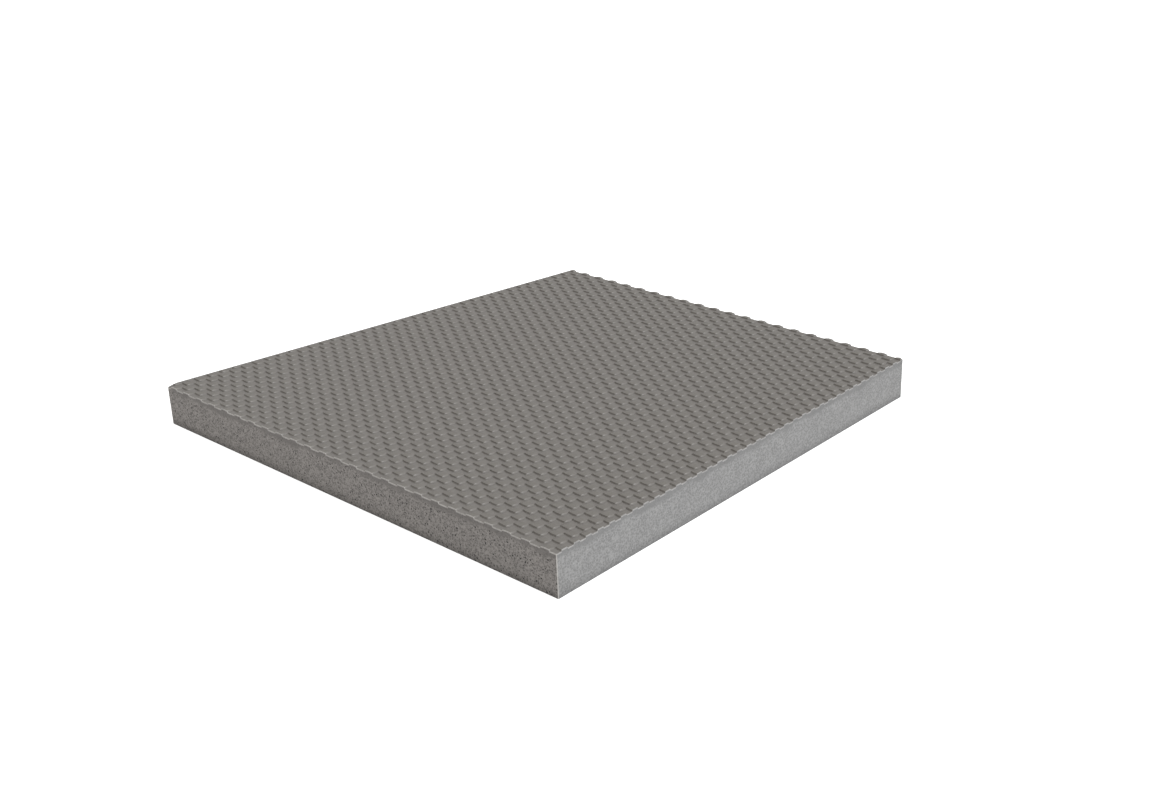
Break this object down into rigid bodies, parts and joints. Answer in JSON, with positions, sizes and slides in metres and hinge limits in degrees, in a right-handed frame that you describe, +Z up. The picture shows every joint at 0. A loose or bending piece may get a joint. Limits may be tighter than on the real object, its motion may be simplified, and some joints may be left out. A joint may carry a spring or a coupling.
{
  "type": "foam sheet",
  "caption": "Flat piece of closed-cell foam with cut edges, one slanted side and a fine embossed pattern of staggered tabs on its upper face.",
  "frame": {"origin": "middle of the bounding box, on the underside", "axes": "+X along the long near edge towards the square side, +Y from the near edge to the short far edge, +Z up out of the embossed face"},
  "size_m": [0.1258, 0.1182, 0.01],
  "materials": {
    "foam": "matte warm grey closed-cell foam with a thin embossed skin and paler, speckled cut faces"
  },
  "bodies": {
    "root": {"foam_sheet": "foam"}
  },
  "joints": []
}
